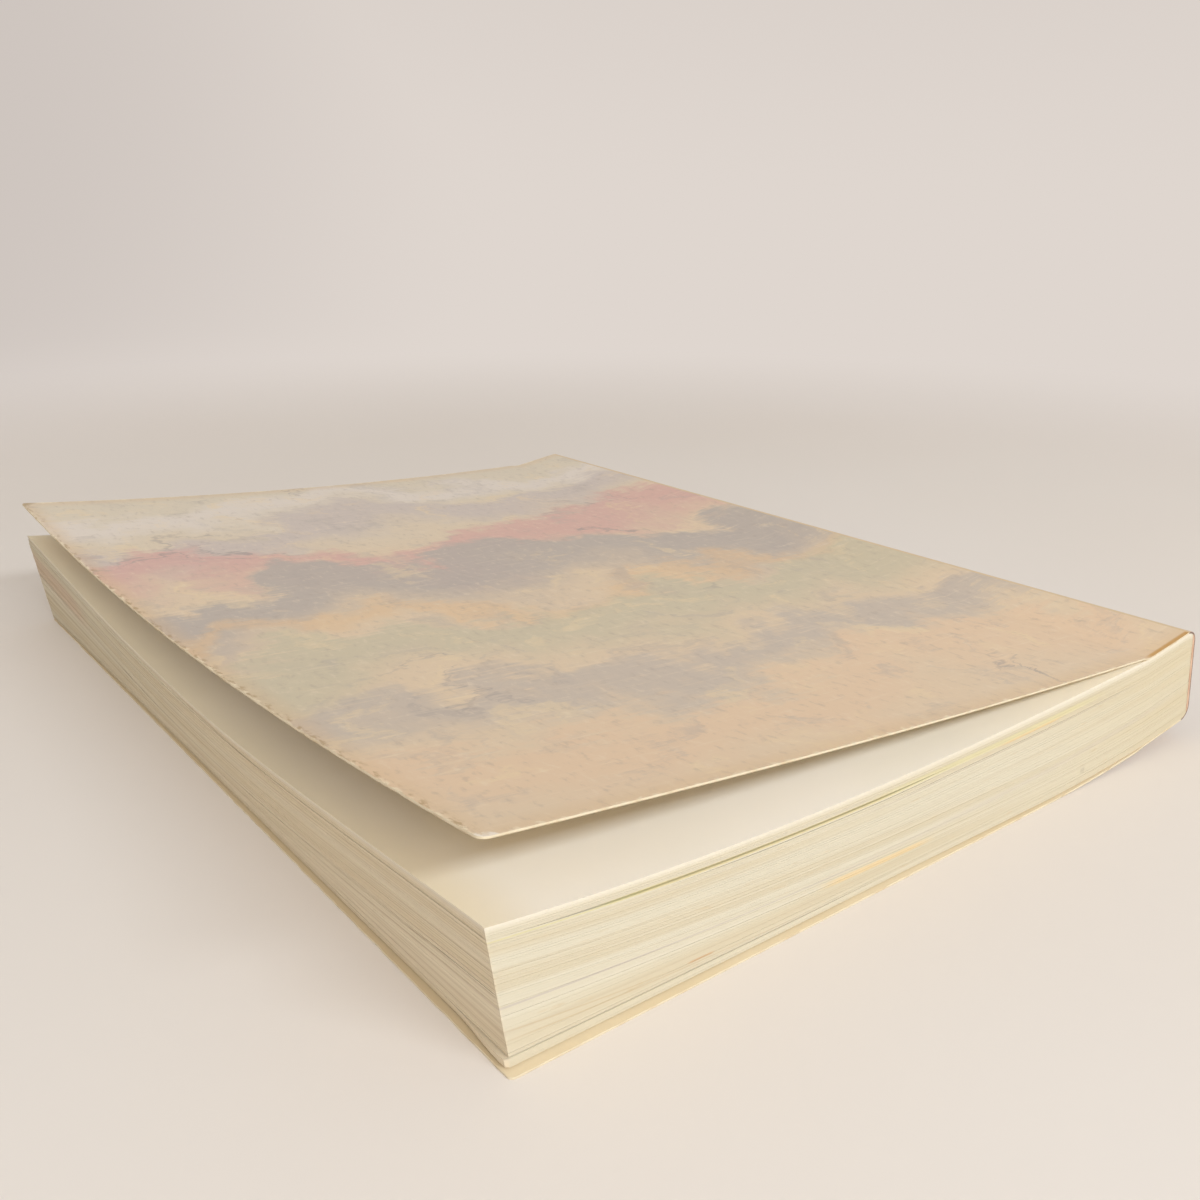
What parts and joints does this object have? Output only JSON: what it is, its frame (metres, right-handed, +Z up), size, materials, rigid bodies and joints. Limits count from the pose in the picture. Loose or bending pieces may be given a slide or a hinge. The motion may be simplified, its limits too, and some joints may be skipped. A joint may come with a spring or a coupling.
{
  "type": "paperback book",
  "caption": "Thick soft-covered book lying on its back cover, front cover ajar, page corners swollen; both covers open at their folds.",
  "frame": {"origin": "on the table, under the middle of the book's outline", "axes": "+X towards the spine, +Y from the tail to the head, +Z up from the back cover to the front cover"},
  "size_m": [0.2187, 0.2794, 0.0459],
  "materials": {
    "pages": "matte",
    "adhesive": "satin",
    "cover_card": "satin"
  },
  "bodies": {
    "bound_leaves": {"text_block": "pages", "binding_glue": "adhesive", "cover_spine": "cover_card"},
    "front_panel": {"front_cover": "cover_card"},
    "back_panel": {"back_cover": "cover_card"}
  },
  "joints": [
    {"name": "front_cover_hinge", "type": "hinge", "parent": "bound_leaves", "child": "front_panel", "pos_m": [0.08422, 0, 0.02835], "axis": [0, 1, 0], "range_deg": [-2.5, 165]},
    {"name": "back_cover_hinge", "type": "hinge", "parent": "bound_leaves", "child": "back_panel", "pos_m": [0.08787, 0, 0.00225], "axis": [0, -1, 0], "range_deg": [0, 165]}
  ]
}
